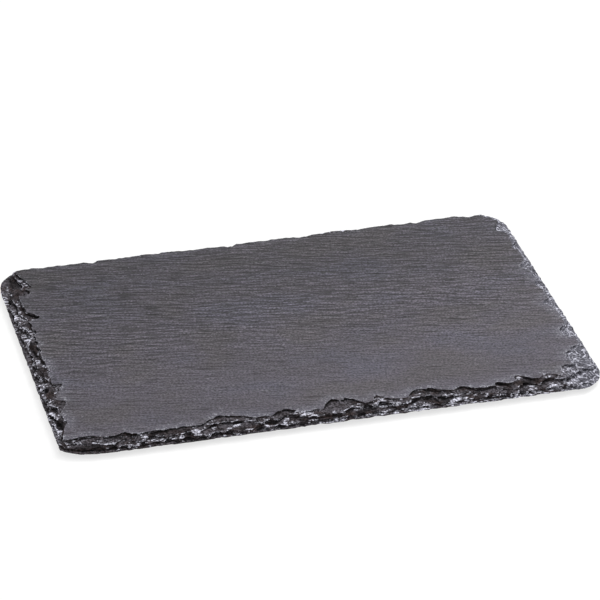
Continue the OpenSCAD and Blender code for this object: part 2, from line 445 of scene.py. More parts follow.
@dataclass(frozen=True)
class BrokenFinish(Finish):
    """Broken edge of the slate: nearly black breaks, grey ledges and pale crushed lips, with
    painted light and shade.
    """

    name: str = "broken_slate"
    roughness: Range = (0.7, 0.92)
    relief: float = 0.5 * MM
    gloss: float = 0.12

    # Colours of the breaks: the near-black ones are the stone's dark fresh break with painted shade
    # added for steep faces, and lit_ledge is painted light for faces that look up.
    fresh_break_in_shade: Triple = (0.009, 0.0075, 0.008)
    brown_break_in_shade: Triple = (0.027, 0.019, 0.0185)
    split: Triple = (0.062, 0.055, 0.063)
    lit_ledge: Triple = (0.066, 0.060, 0.069)
    # Painted light: the right end's paler colour, as the light falls from that side.
    lit_right_ledge: Triple = (0.105, 0.104, 0.125)
    crushed: Triple = (0.54, 0.54, 0.62)

    specks: Grain = Grain((1.1, 1.4, 0.9), shift=3.1)
    powder: Grain = Grain((4.2, 1.5, 0.6), detail=4.0, roughness=0.64, shift=17.3, bend=0.4)
    strata: Grain = Grain((6.0, 6.0, 0.75), detail=4.0, roughness=0.62, shift=31.1, bend=0.3)
    blotches: Grain = Grain((7.0, 7.0, 2.5), shift=5.7)
    zones: Grain = Grain((11.0, 11.0, 3.0), detail=2.0, roughness=0.5, shift=27.3)
    shells: Grain = Grain((9.0, 12.0, 6.0), detail=2.0, roughness=0.5, shift=53.1, bend=0.6)

    speck_height: float = 0.5
    powder_height: float = 0.8

    brown_range: Range = (0.45, 0.6)
    split_range: Range = (0.46, 0.64)
    # Painted light by facing: how far a face must look up before it takes the lit ledges' colour.
    lit_facing_range: Range = (0.6, 0.95)
    ledge_slope: Slope = (0.60, 0.40, 0.25, 1.0)
    right_end: Range = (0.79, 0.92)
    # Painted light at the right end: how much of its paler colour steep and upward faces take.
    right_light_slope: Slope = (0.0, 0.6, 0.6, 1.0)
    shell_lines: float = 9.0
    line_slope: Slope = (0.05, 0.32, 1.0, 0.0)
    line_powder_slope: Slope = (0.35, 0.55, 0.4, 1.0)
    # Dark listed patches: dark break with painted shade.
    patch_shade_slope: Slope = (-0.1, -0.7, 0.0, 0.9)
    black_share: float = 0.55

    lip_range: Range = (0.40, 0.55)
    lip_share: float = 0.9
    powder_slope: Slope = (0.36, 0.64, -0.95, 0.6)
    right_share: float = -0.3
    left_slope: Slope = (-0.9, -0.96, 0.0, 0.15)
    zone_slope: Slope = (0.38, 0.62, -0.45, 0.15)
    patch_slope: Slope = (-0.1, 0.1, 1.6, 0.85)
    front_edge: Range = (-0.84, -0.92)
    # Painted light: pale crushed colour on the low front of the band, where faces turn down, more
    # of it towards the right and taken away at the left.
    low_edge_range: Range = (0.52, 0.36)
    low_edge_light_slope: Slope = (-0.8, 0.4, -0.15, 0.42)
    crushed_range: Range = (0.2, 0.85)
    crushed_share: Range = (0.98, 0.82)

    front_tone: float = 1.08
    # Painted shade in hollows, weaker at the right end.
    hollow_tone: Range = (0.25, 0.75)
    speck_range: Range = (0.36, 0.64)
    dark_speck_tone: Range = (0.2, 0.55)
    light_speck_tone: Range = (1.9, 1.65)

    def _surface(self, wire: Wiring) -> tuple[Socket, Socket, Socket]:
        """Wires the breaks.

        Args:
            wire: Wiring of the material.

        Returns:
            Colour, relief and wear, as in Finish.
        """
        specks = wire.grain(self.specks)
        powder = wire.grain(self.powder)
        strata = wire.grain(self.strata)
        height = wire.total(strata, wire.product(specks, self.speck_height),
                            wire.product(powder, self.powder_height))
        along, back, up = wire.halves()
        right = wire.ramp(along, *self.right_end)
        front = wire.ramp(back, *self.front_edge)
        # Painted light on the low front of the band, added to the crushed share.
        lit_low_front = wire.product(front, wire.ramp(up, *self.low_edge_range))
        placed = wire.mark(Mark.PATCH)
        crushed = wire.total(
            wire.product(wire.mark(Mark.CRUSHED), wire.ramp(powder, *self.lip_range),
                         self.lip_share),
            wire.ramp(powder, *self.powder_slope),
            wire.product(right, self.right_share),
            wire.ramp(along, *self.left_slope),
            wire.ramp(wire.grain(self.zones), *self.zone_slope),
            wire.product(placed, wire.ramp(placed, *self.patch_slope)),
            wire.product(lit_low_front, wire.ramp(along, *self.low_edge_light_slope)))
        most = wire.between(front, self.crushed_share)
        colour = wire.mix(wire.ramp(crushed, *self.crushed_range, 0.0, most),
                          self._stone(wire, powder, strata, right, placed), self.crushed)
        tone = wire.product(
            wire.between(front, (1.0, self.front_tone)),
            # Painted shade in the hollows of the breaks.
            wire.between(wire.mark(Mark.HOLLOW_SHADE), (1.0, wire.between(right, self.hollow_tone))),
            wire.ramp(specks, *self.speck_range, wire.between(right, self.dark_speck_tone),
                      wire.between(right, self.light_speck_tone)))
        return wire.tone(colour, tone), height, powder

    def _stone(self, wire: Wiring, powder: Socket, strata: Socket, right: Socket,
               placed: Socket) -> Socket:
        """Colours the breaks before any of them is crushed, with painted light on faces that look
        up and painted shade on steep ones.

        Args:
            wire: Wiring of the material.
            powder: Small clots of crushed stone.
            strata: Thin layers that show in the steep breaks.
            right: One at the right end, with its curved fracture lines and its painted light, and
                zero elsewhere.
            placed: Listed patches, with dark ones of dark break and painted shade below zero.

        Returns:
            The colour's socket.
        """
        # Painted light and shade by facing: faces that look up take the lit ledges' colour, steep
        # ones the near-black breaks.
        facing = wire.tree.nodes.new("ShaderNodeNewGeometry").outputs["True Normal"]
        upright = wire.add("SeparateXYZ", Vector=facing).outputs["Z"]
        blotches = wire.grain(self.blotches)
        dark = wire.mix(wire.ramp(blotches, *self.brown_range), self.fresh_break_in_shade,
                        self.brown_break_in_shade)
        layered = wire.mix(wire.ramp(strata, *self.split_range), dark, self.split)
        level = wire.product(wire.ramp(upright, *self.lit_facing_range),
                             wire.ramp(blotches, *self.ledge_slope))
        colour = wire.mix(level, layered, self.lit_ledge)
        # Painted light: the right end turns paler, as the light falls from that side.
        pale = wire.product(right, wire.ramp(upright, *self.right_light_slope))
        colour = wire.mix(pale, colour, self.lit_right_ledge)
        steps = wire.math("FRACT", wire.product(wire.grain(self.shells), self.shell_lines))
        lines = wire.product(right, wire.ramp(steps, *self.line_slope),
                             wire.ramp(powder, *self.line_powder_slope))
        colour = wire.mix(lines, colour, self.crushed)
        # Dark listed patches turn the breaks near black: partly dark break, partly painted shade.
        return wire.mix(wire.ramp(placed, *self.patch_shade_slope), colour,
                        wire.mix(self.black_share, layered, dark))


@dataclass(frozen=True)
class PadFinish(Finish):
    """Soft black foam rubber with a fine closed skin."""

    name: str = "foam_rubber"
    roughness: Range = (0.77, 0.93)
    relief: float = 0.06 * MM
    strength: float = 0.5
    skin: Triple = (0.022, 0.022, 0.024)
    worn: Triple = (0.045, 0.045, 0.047)
    pores: Grain = Grain((0.35, 0.35, 0.35))
    wear: Grain = Grain((4.0, 4.0, 4.0), roughness=0.55, shift=9.1)
    worn_range: Range = (0.4, 0.7)

    def _surface(self, wire: Wiring) -> tuple[Socket, Socket, Socket]:
        """Wires the skin.

        Args:
            wire: Wiring of the material.

        Returns:
            Colour, relief and wear, as in Finish.
        """
        pores = wire.grain(self.pores)
        worn = wire.ramp(wire.grain(self.wear), *self.worn_range)
        return wire.mix(worn, self.skin, self.worn), pores, pores


@dataclass(frozen=True)
class FilmFinish(Finish):
    """Whitish, slightly cloudy adhesive."""

    name: str = "adhesive_film"
    roughness: Range = (0.25, 0.5)
    relief: float = 0.03 * MM
    strength: float = 0.3
    clear: Triple = (0.62, 0.61, 0.56)
    cloudy: Triple = (0.74, 0.73, 0.69)
    clouds: Grain = Grain((1.2, 1.2, 1.2), detail=4.0)
    cloud_range: Range = (0.35, 0.65)

    def _surface(self, wire: Wiring) -> tuple[Socket, Socket, Socket]:
        """Wires the adhesive.

        Args:
            wire: Wiring of the material.

        Returns:
            Colour, relief and wear, as in Finish.
        """
        clouds = wire.grain(self.clouds)
        share = wire.ramp(clouds, *self.cloud_range)
        return wire.mix(share, self.clear, self.cloudy), clouds, clouds


def smooth(value: float, low: float, high: float) -> float:
    """Rises smoothly from zero to one between two values."""
    share = min(1.0, max(0.0, (value - low) / (high - low)))
    return share * share * (3.0 - 2.0 * share)


def hollows(point: Vector, cell: float, flatness: float, fullness: float = 1.3) -> float:
    """Gives the depth of shallow bowls that meet in sharp ridges.

    Args:
        point: Place on the stone.
        cell: Usual width of a bowl.
        flatness: How many times wider than high the bowls are.
        fullness: How fast a bowl deepens from its ridges.

    Returns:
        Depth between zero at the ridges and one in the middle of a wide bowl.
    """
    scaled = Vector((point.x, point.y, point.z * flatness)) / cell
    nearest, second = noise.voronoi(scaled)[0][:2]
    return min(1.0, (second - nearest) * fullness)


@dataclass(frozen=True)
class Patch:
    """A pale crushed patch, or a dark patch of dark break and painted shade, on the broken edge, in
    millimetres as it is seen against the top.
    """

    x: float
    y: float
    half_length: float
    half_width: float
    turn: float
    amount: float
    core: ClassVar[float] = 0.6
    reach: ClassVar[float] = 1.3

    def share(self, x: float, y: float) -> float:
        """Gives how strongly the patch covers a place.

        Args:
            x: Place along X in millimetres.
            y: Place along Y in millimetres.

        Returns:
            The patch's amount in its middle, fading to zero outside.
        """
        angle = math.radians(self.turn)
        cosine, sine = math.cos(angle), math.sin(angle)
        along = ((x - self.x) * cosine + (y - self.y) * sine) / self.half_length
        across = ((y - self.y) * cosine - (x - self.x) * sine) / self.half_width
        return self.amount * (1.0 - smooth(math.hypot(along, across), self.core, self.reach))


# Pale crushed patches, and dark patches that are partly dark break and partly painted shade,
# listed: middle, half length, half width, turn in degrees, and amount from -1 for dark to 1
# for pale.
PATCHES = tuple(Patch(*row) for row in (
    # front, from the left
    (-147, -97, 1.5, 1.3, 0, 0.8), (-140, -97, 2.4, 0.8, 0, 0.7), (-134, -96, 2.4, 1.3, 0, 0.7),
    (-137, -101.5, 11.5, 3.0, -6, -1.0), (-129, -97.5, 1.6, 1.5, 0, 0.6),
    (-123.5, -100.2, 3.0, 0.8, -10, 0.8), (-129.3, -101.5, 1.0, 1.3, 0, 0.8),
    (-125, -102.5, 3.5, 1.4, -15, -0.9), (-126.5, -106.3, 1.4, 0.8, 0, 0.8),
    (-115, -93, 5.5, 1.5, -8, -0.8), (-116, -96.6, 5.0, 1.2, -15, -0.9),
    (-118, -98.6, 2.0, 0.8, 0, 0.7), (-113, -101.8, 3.3, 1.7, 0, 1.0),
    (-117.5, -104, 0.7, 1.2, 0, 0.7), (-112, -107, 2.2, 0.8, 0, 0.5),
    (-107.5, -95, 1.0, 1.2, 0, 0.8), (-104, -97.5, 0.7, 1.8, 0, 0.5),
    (-99, -95.5, 5.0, 1.5, 0, -0.7), (-101.5, -102.3, 1.5, 1.3, 0, 1.0),
    (-96.5, -101.8, 3.2, 0.6, 35, 0.7), (-103, -104.6, 6.0, 0.8, 0, -0.8),
    (-89, -96, 9.5, 2.6, -3, -1.0), (-86.7, -102.5, 0.8, 1.8, 0, 0.8),
    (-90, -104.8, 4.0, 0.9, 0, -0.8), (-87, -106.3, 1.7, 0.9, 0, 0.7),
    (-82, -104, 4.0, 2.2, -40, -0.9), (-78, -99.5, 5.0, 2.0, 105, 0.9),
    (-71, -104, 4.0, 1.5, 10, 0.8), (-74.5, -106.4, 3.2, 1.0, 0, 0.7),
    (-68.5, -98.5, 2.4, 0.9, 0, 0.8), (-67, -102.4, 2.2, 0.8, 15, 0.7),
    (-57, -99, 5.5, 1.5, 20, 1.0), (-60, -88.8, 12.0, 1.2, -1, -0.8),
    (-68, -95.5, 5.0, 1.1, -12, -0.8), (-61.3, -95, 1.2, 1.6, 0, 0.7),
    (-55, -95.2, 4.5, 1.2, 10, -0.9), (-65, -99.6, 3.5, 1.1, 0, -0.8),
    (-55, -102.3, 6.5, 1.4, 0, -0.9), (-51, -103.4, 2.0, 0.7, -15, 0.7),
    (-42, -93, 4.0, 1.0, -12, -1.0), (-45, -98.7, 3.2, 1.3, 0, 0.9),
    (-46, -102.2, 4.0, 1.8, 0, -0.8), (-41, -104.5, 1.5, 1.5, 0, 0.7),
    (-36, -96.6, 3.2, 1.3, -45, 0.8), (-37, -101, 3.0, 2.2, 0, -0.8), (-31, -103, 1.6, 1.9, 0, 0.8),
    (-27.3, -103, 1.5, 1.5, 0, 0.7), (-24, -106, 1.6, 1.0, 0, 0.7),
    (-25, -95.3, 6.0, 0.7, -8, -1.0), (-20, -90, 5.5, 1.1, -8, -0.8),
    (-18.5, -95.3, 4.2, 2.2, 20, 1.0), (-21, -102, 3.0, 1.8, -20, -0.7),
    (-17, -103, 1.3, 1.6, 0, 0.8), (-18.5, -106, 0.8, 1.6, 0, 0.8),
    (-8, -97.6, 5.0, 1.2, -15, -0.9), (-6, -102, 7.5, 2.2, 0, -0.7),
    (-1, -98.4, 5.0, 1.5, -15, 0.9), (10, -99, 5.5, 1.0, 8, 0.9), (12, -91.5, 7.0, 1.2, -18, -0.7),
    (12, -102.4, 10.0, 2.2, 0, -0.8), (-3, -106, 1.3, 1.0, 0, 0.8), (6.5, -105.6, 0.8, 1.8, 0, 0.8),
    (17, -106, 1.7, 0.7, 0, 0.8), (21, -96, 1.4, 2.0, 0, 0.9), (27, -99.3, 6.0, 1.3, -4, 0.9),
    (27, -101.4, 7.0, 0.7, -5, -1.0), (22, -106, 2.2, 0.8, 0, 0.7),
    (29.5, -106.2, 2.2, 1.2, 0, 0.8), (37, -105.4, 2.1, 2.1, 0, 0.9), (45, -90, 6.0, 1.0, 15, -0.7),
    (41, -98, 0.7, 1.6, 0, 0.7), (48, -99.5, 10.5, 1.3, -28, -1.0), (46, -102.4, 1.1, 0.8, 0, 0.8),
    (57, -102.4, 2.6, 2.6, 0, -0.9), (56, -97.8, 4.2, 0.9, -27, 0.8),
    (63.5, -101.3, 5.0, 1.5, -8, 0.9), (58, -106.2, 1.6, 0.7, 0, 0.8), (62, -105, 0.7, 1.6, 0, 0.8),
    (68, -91.5, 17.0, 1.4, -14, -1.0), (79, -92.6, 5.5, 0.9, -12, 0.7),
    (76, -103.2, 3.2, 1.8, 0, -0.8), (81, -100, 0.8, 2.0, 0, 0.8), (86, -103.5, 4.6, 1.5, -5, 0.9),
    (90.5, -100.8, 1.0, 2.0, 0, 0.8), (93, -102, 4.0, 1.5, 60, -0.8), (96, -93, 8.5, 2.2, -5, -0.8),
    (98, -103, 1.8, 2.2, 0, 0.8), (103, -100, 1.3, 0.8, 0, 0.8), (106.5, -98.8, 1.7, 1.2, 0, 1.0),
    (104, -104.5, 1.6, 1.2, 0, 0.8), (111, -94.5, 8.5, 3.2, 0, -0.6),
    (111.5, -102.3, 2.6, 2.6, 0, -0.9), (121, -100.4, 8.5, 1.6, -4, 0.8),
    (115, -104, 2.4, 1.8, 0, 0.8), (119.5, -104, 1.6, 1.6, 0, 0.6),
    (124.5, -102.6, 1.4, 1.4, 0, -0.9), (127.7, -103, 1.0, 1.2, 0, -0.8),
    (118, -107, 4.0, 0.8, 5, -0.8),
    # front right corner and right side
    (133, -97.5, 8.0, 1.4, 38, 0.8), (141, -89, 7.0, 1.4, 55, 0.7), (136, -79, 12.5, 0.8, 39, 0.8),
    (127.5, -87.5, 1.8, 1.2, 0, 0.9), (140.5, -67, 9.5, 0.7, 50, 0.8),
    (143, -76, 2.2, 1.2, 40, 0.8), (137, -86, 5.0, 2.2, 40, -0.4), (143.5, -51, 4.0, 1.6, 75, 0.8),
    (144.5, -45, 2.6, 1.2, 80, 0.7), (144.5, -57.5, 2.4, 1.3, 70, 0.8),
    (143.5, -38, 5.0, 1.5, 85, 0.5), (145.5, -26, 7.0, 0.9, 90, 0.6),
    (144.5, -9, 5.0, 1.6, 75, 0.6), (142, -65, 3.0, 0.7, 50, -0.8),
    # left side, from the back
    (-143.5, 75, 15.0, 3.2, 85, -0.6), (-148, 62, 6.0, 1.4, 87, -0.8),
    (-147.5, 76, 2.6, 0.9, 80, 0.9), (-146.5, 68.5, 1.6, 0.9, 80, 0.8),
    (-139.5, 42.6, 4.6, 1.0, -38, -1.0), (-143.5, 50.5, 2.2, 1.4, 90, -0.8),
    (-145.8, 44.8, 3.6, 0.8, 83, 0.9), (-148, 42, 1.6, 1.0, 90, 0.8), (-147, 28, 1.8, 0.8, 90, 0.8),
    (-147.2, 25.3, 1.8, 1.3, 90, -0.9), (-142.6, 29, 2.4, 0.9, 80, -0.9),
    (-145.4, 18, 3.0, 1.2, 75, 1.0), (-147.6, 15.8, 1.6, 0.9, 90, 0.9),
    (-145, 7, 7.0, 2.2, 88, -1.0), (-145, -8, 2.0, 1.0, 90, 0.8), (-145.2, -19, 5.5, 2.6, 88, -0.8),
    (-144, -26.8, 1.7, 1.8, 0, 0.7), (-147, -27.5, 2.2, 0.9, 90, 0.9),
    (-145.4, -42, 7.0, 2.3, 82, -0.9), (-149.6, -46, 4.0, 0.8, 90, 0.8),
    (-149.6, -38, 3.2, 0.8, 90, 0.7), (-142.3, -47, 3.5, 0.6, 68, 0.6),
    (-148.5, -55, 1.7, 1.0, 90, 0.8), (-148.4, -63, 3.2, 1.6, 100, 1.0),
    (-146, -67, 1.2, 1.0, 0, 0.8), (-146, -75.5, 6.5, 2.5, 82, -0.9),
    (-149.2, -76, 4.5, 0.7, 88, 0.9), (-147.6, -81, 1.2, 1.0, 0, 0.8),
    (-146.3, -88, 5.0, 0.8, 82, 0.8), (-138.6, 71, 4.0, 0.7, 75, -0.7),
    (-136.5, 87, 2.2, 0.9, -45, -0.7),
))


@dataclass(frozen=True)
class Wave:
    """One wave of the riven relief: its length along and across the grain, its slant and size."""

    length_mm: float
    width_mm: float
    slant: float
    draw: float
    amount: float

    def height(self, x: float, y: float) -> float:
        """Gives the wave's height at a place in millimetres, as a share of the relief."""
        across = (y + self.slant * x) / self.width_mm
        return self.amount * noise.noise(Vector((x / self.length_mm, across, self.draw)))


@dataclass
class SlateSlab:
    """The stone slab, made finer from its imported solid.

    A _share keeps a part of a break's depth where the stone stands proud, within the height or
    slope of the same name.
    """

    node: str = "slate_slab"
    face_finish: RivenFinish = field(default_factory=RivenFinish)
    edge_finish: BrokenFinish = field(default_factory=BrokenFinish)
    merge: float = 0.001 * MM
    level_slack: float = 0.01 * MM
    break_edge: float = 0.85 * MM
    break_passes: int = 4
    chip: float = 6.5 * MM
    chip_depth: float = 0.45 * MM
    chip_flatness: float = 2.6
    splinter: float = 2.4 * MM
    splinter_depth: float = 0.2 * MM
    splinter_shift: float = 0.1
    bend: float = 1.3 * MM
    bend_cell: float = 4.0 * MM
    seed: int = 8
    ledge_share: float = 0.8
    ledge_slope: Range = (0.5, 0.95)
    arris_share: float = 0.3
    arris_height: float = 1.6 * MM
    rim_share: float = 0.45
    rim_height: float = 0.7 * MM
    stratum: float = 0.9 * MM
    stratum_depth: float = 0.45 * MM
    stratum_cell: float = 5.0 * MM
    stratum_swell: float = 2.5
    stratum_draw: float = 7.3
    stratum_step: Range = (-0.35, 0.35)
    lip: float = 0.35 * MM
    face_pitch_x: float = 3.0 * MM
    face_pitch_y: float = 0.85 * MM
    underside_pitch: float = 4.0 * MM
    relief: float = 0.18 * MM
    waves: tuple[Wave, ...] = (Wave(13.0, 1.9, 0.21, 0.0, 0.55), Wave(40.0, 5.5, 0.21, 4.0, 0.7),
                               Wave(70.0, 55.0, 0.0, 9.0, 0.9))
    top_level: float = 1.35
    underside_level: float = 0.6
    crease: float = math.radians(18.0)
    smoothing: int = 7
    smoothing_share: float = 0.5
    lip_height: float = 0.20 * MM
    groove_depth: float = 0.25 * MM
    bruise: float = 7.0 * MM
    patch_cell: float = 6.0
    slide: Vector = field(default_factory=lambda: Vector(
        (-math.sin(VIEW_AZIMUTH), math.cos(VIEW_AZIMUTH))) / math.tan(VIEW_ELEVATION))
    low: Vector = field(init=False)
    high: Vector = field(init=False)

    def build(self) -> bpy.types.Object:
        """Makes the slab.

        Returns:
            The finished piece.
        """
        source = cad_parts[self.node]
        self.low, self.high = (Vector(corner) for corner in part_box(self.node))
        band = bmesh.new()
        band.from_mesh(source.data)
        bmesh.ops.remove_doubles(band, verts=band.verts, dist=self.merge)
        flat = [face for face in band.faces if self._is_flat(face.verts)]
        bmesh.ops.delete(band, geom=flat, context="FACES")
        self._refine(band)
        self._break_edge(band)
        for face in band.faces:
            face.material_index = Skin.BROKEN
        top = self._split_face(band, self.high.z, self.face_pitch_x, self.face_pitch_y)
        underside = self._split_face(band, self.low.z, self.underside_pitch, self.underside_pitch)
        mesh = self._join(band, top, underside)
        self._rive(mesh)
        self._mark(mesh)
        data = bpy.data.meshes.new("slab")
        mesh.to_mesh(data)
        mesh.free()
        piece = bpy.data.objects.new("slab", data)
        bpy.context.scene.collection.objects.link(piece)
        data.materials.append(self.face_finish.make())
        data.materials.append(self.edge_finish.make())
        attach(piece, "root")
        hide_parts(self.node)
        return piece

    def _at(self, corners: Iterable[bmesh.types.BMVert], height: float) -> bool:
        """Tells whether all corners lie at a height."""
        return all(abs(corner.co.z - height) < self.level_slack for corner in corners)

    def _is_flat(self, corners: Iterable[bmesh.types.BMVert]) -> bool:
        """Tells whether corners lie in the flat top or in the flat underside."""
        corners = list(corners)
        return self._at(corners, self.low.z) or self._at(corners, self.high.z)

    def _refine(self, mesh: bmesh.types.BMesh) -> None:
        """Splits the band's long edges until the stone can break finely.

        Args:
            mesh: Mesh of the band.
        """
        for _ in range(self.break_passes):
            long_edges = [edge for edge in mesh.edges if edge.calc_length() > self.break_edge]
            if not long_edges:
                break
            bmesh.ops.subdivide_edges(
                mesh, edges=long_edges, cuts=1, use_grid_fill=True, use_single_edge=True)
            bmesh.ops.triangulate(mesh, faces=[face for face in mesh.faces if len(face.verts) > 3])
        LOG.info("band: %d faces", len(mesh.faces))

    def _break_edge(self, mesh: bmesh.types.BMesh) -> None:
        """Breaks the band into strata, chips and splinters.

        Args:
            mesh: Mesh of the band.
        """
        noise.seed_set(self.seed)
        mesh.normal_update()
        shift = Vector((self.splinter_shift,) * 3)
        moved = []
        for vertex in mesh.verts:
            place = vertex.co.copy()
            out = vertex.normal.copy()
            if vertex.is_boundary:
                out.z = 0.0
                out.normalize()
            bent = place + noise.noise_vector(place / self.bend_cell) * self.bend
            depth = self.chip_depth * hollows(bent, self.chip, self.chip_flatness)
            depth += self.splinter_depth * hollows(bent + shift, self.splinter, self.chip_flatness)
            depth += self.stratum_depth * self._layer(place)
            depth *= 1.0 - self.ledge_share * smooth(vertex.normal.z, *self.ledge_slope)
            depth *= self.arris_share + (1.0 - self.arris_share) * smooth(
                place.z - self.low.z, 0.0, self.arris_height)
            depth *= self.rim_share + (1.0 - self.rim_share) * smooth(
                self.high.z - place.z, 0.0, self.rim_height)
            moved.append(place - out * depth)
        for vertex, place in zip(mesh.verts, moved):
            vertex.co = (min(max(value, low), high)
                         for value, low, high in zip(place, self.low, self.high))

    def _layer(self, place: Vector) -> float:
        """Gives how far a thin layer of the stone is broken back, with a step to the next layer.

        Args:
            place: Place on the band.

        Returns:
            Share between zero and one.
        """
        wave = noise.noise(place / (self.stratum_swell * self.stratum_cell))
        layer = math.floor(place.z / self.stratum + wave)
        along = place.xy.to_3d() / self.stratum_cell
        along.z = self.stratum_draw * layer
        return smooth(noise.noise(along), *self.stratum_step)

    def _split_face(self, band: bmesh.types.BMesh, height: float,
                    pitch_x: float, pitch_y: float) -> bmesh.types.BMesh:
        """Closes the open outline at one height and cuts the new face into a grid.

        The band's faces along that outline move into the new mesh, so that the cuts go through
        their edges too.

        Args:
            band: Mesh of the band.
            height: Height of the outline.
            pitch_x: Distance between the cuts across X.
            pitch_y: Distance between the cuts across Y.

        Returns:
            Mesh of the new face and its surrounding strip.
        """
        cap = band.copy()
        for mesh, keep in ((cap, True), (band, False)):
            rim = [edge for edge in mesh.edges if edge.is_boundary and self._at(edge.verts, height)]
            strip = {face for edge in rim for face in edge.link_faces}
            gone = [face for face in mesh.faces if (face in strip) != keep]
            bmesh.ops.delete(mesh, geom=gone, context="FACES")
        rim = [edge for edge in cap.edges if edge.is_boundary and self._at(edge.verts, height)]
        face = bmesh.ops.contextual_create(cap, geom=rim)["faces"][0]
        face.material_index = Skin.RIVEN
        bmesh.ops.recalc_face_normals(cap, faces=cap.faces)
        bmesh.ops.inset_region(cap, faces=[face], thickness=self.lip, use_even_offset=False)
        for axis, pitch in ((1, pitch_y), (0, pitch_x)):
            self._cut(cap, axis, pitch)
        LOG.info("cut into %d faces", len(cap.faces))
        return cap

    def _cut(self, mesh: bmesh.types.BMesh, axis: int, pitch: float) -> None:
        """Cuts the split face by evenly spaced planes.

        Args:
            mesh: Mesh of a split face with its surrounding strip.
            axis: 0 for planes across X and 1 for planes across Y.
            pitch: Distance between the planes.
        """
        normal = Vector((1.0 - axis, float(axis), 0.0))
        count = int((self.high[axis] - self.low[axis]) / pitch)
        first = (self.low[axis] + self.high[axis] - pitch * count) / 2
        pieces = [face for face in mesh.faces if face.material_index == Skin.RIVEN]
        for line in range(1, count):
            at = normal * (first + pitch * line)
            edges = {edge for face in pieces for edge in face.edges}
            corners = {corner for face in pieces for corner in face.verts}
            result = bmesh.ops.bisect_plane(mesh, geom=[*corners, *edges, *pieces],
                                            dist=self.merge, plane_co=at, plane_no=normal)
            pieces = [item for item in result["geom"] if isinstance(item, bmesh.types.BMFace)
                      and max(corner.co[axis] for corner in item.verts) > at[axis] + self.merge]

    def _join(self, *parts: bmesh.types.BMesh) -> bmesh.types.BMesh:
        """Joins meshes that share their outlines.

        Args:
            *parts: Meshes, which are freed.

        Returns:
            The closed mesh.
        """
        mesh = bmesh.new()
        for part in parts:
            data = bpy.data.meshes.new("part")
            part.to_mesh(data)
            part.free()
            mesh.from_mesh(data)
            bpy.data.meshes.remove(data)
        bmesh.ops.remove_doubles(mesh, verts=mesh.verts, dist=self.merge)
        bmesh.ops.recalc_face_normals(mesh, faces=mesh.faces)
        LOG.info("slab: %d open edges", sum(not edge.is_manifold for edge in mesh.edges))
        return mesh

    def _rive(self, mesh: bmesh.types.BMesh) -> None:
        """Gives the split faces their cleavage relief.

        Args:
            mesh: Mesh of the slab.
        """
        feet = self._foot_places()
        for vertex in mesh.verts:
            place = vertex.co / MM
            on_top = abs(vertex.co.z - self.high.z) < self.level_slack
            on_underside = abs(vertex.co.z - self.low.z) < self.level_slack
            if not (on_top or on_underside):
                continue
            height = self.relief * sum(wave.height(place.x, place.y) for wave in self.waves)
            if on_top:
                vertex.co.z -= max(0.0, self.top_level * self.relief - height)
            else:
                free = min((vertex.co.xy - middle).length / radius - 1.0 for middle, radius in feet)
                raised = max(0.0, self.underside_level * self.relief + height)
                vertex.co.z += raised * min(1.0, max(0.0, free))

    def _foot_places(self) -> list[tuple[Vector, float]]:
        """Gives the middle and the radius of each foot, where the underside stays flat."""
        boxes = [[Vector(corner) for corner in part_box("foot_pad_" + name)] for name in Feet.names]
        return [((low.xy + high.xy) / 2, (high.x - low.x) / 2) for low, high in boxes]

    def _mark(self, mesh: bmesh.types.BMesh) -> None:
        """Writes the values that the finish reads, and sharpens the creases.

        Args:
            mesh: Mesh of the slab.
        """
        mesh.normal_update()
        evened = mesh.copy()
        for _ in range(self.smoothing):
            bmesh.ops.smooth_vert(evened, verts=evened.verts, factor=self.smoothing_share,
                                  use_axis_x=True, use_axis_y=True, use_axis_z=True)
        layers = {mark: mesh.verts.layers.float.new(mark.value) for mark in Mark}
        near = self._patches_near()
        rim = self._rim(mesh)
        for vertex, even in zip(mesh.verts, evened.verts):
            proud = (vertex.co - even.co).dot(vertex.normal)
            above = smooth(vertex.co.z - self.low.z, 0.5 * self.arris_height, self.arris_height)
            vertex[layers[Mark.CRUSHED]] = min(1.0, max(0.0, proud / self.lip_height)) * above
            # Painted shade: corners sunk below their smoothed neighbours mark the hollows that the
            # broken finish darkens.
            vertex[layers[Mark.HOLLOW_SHADE]] = min(1.0, max(0.0, -proud / self.groove_depth))
            below = self.high.z - vertex.co.z
            vertex[layers[Mark.RIM]] = 1.0 - smooth(rim.find(vertex.co)[2], 0.0, self.bruise)
            x, y = (vertex.co.xy - self.slide * below) / MM
            cell = (round(x / self.patch_cell), round(y / self.patch_cell))
            amount = sum(patch.share(x, y) for patch in near.get(cell, ()))
            vertex[layers[Mark.PATCH]] = min(1.0, max(-1.0, amount))
        evened.free()
        for face in mesh.faces:
            face.smooth = True
        for edge in mesh.edges:
            if edge.is_manifold and edge.calc_face_angle() > self.crease:
                edge.smooth = False

    def _rim(self, mesh: bmesh.types.BMesh) -> kdtree.KDTree:
        """Gathers the rim of the top face.

        Args:
            mesh: Mesh of the slab.

        Returns:
            Tree that finds the nearest corner of the rim.
        """
        middle = (self.low.z + self.high.z) / 2
        rim = [vertex.co for vertex in mesh.verts if vertex.co.z > middle
               and len({face.material_index for face in vertex.link_faces}) == 2]
        tree = kdtree.KDTree(len(rim))
        for number, place in enumerate(rim):
            tree.insert(place, number)
        tree.balance()
        return tree

    def _patches_near(self) -> dict[tuple[int, int], list[Patch]]:
        """Sorts the patches into square cells.

        Returns:
            The patches that may reach each cell.
        """
        near = {}
        for patch in PATCHES:
            half = max(patch.half_length, patch.half_width)
            reach = math.ceil(Patch.reach * half / self.patch_cell)
            middle_x, middle_y = round(patch.x / self.patch_cell), round(patch.y / self.patch_cell)
            for cell_x in range(middle_x - reach, middle_x + reach + 1):
                for cell_y in range(middle_y - reach, middle_y + reach + 1):
                    near.setdefault((cell_x, cell_y), []).append(patch)
        return near


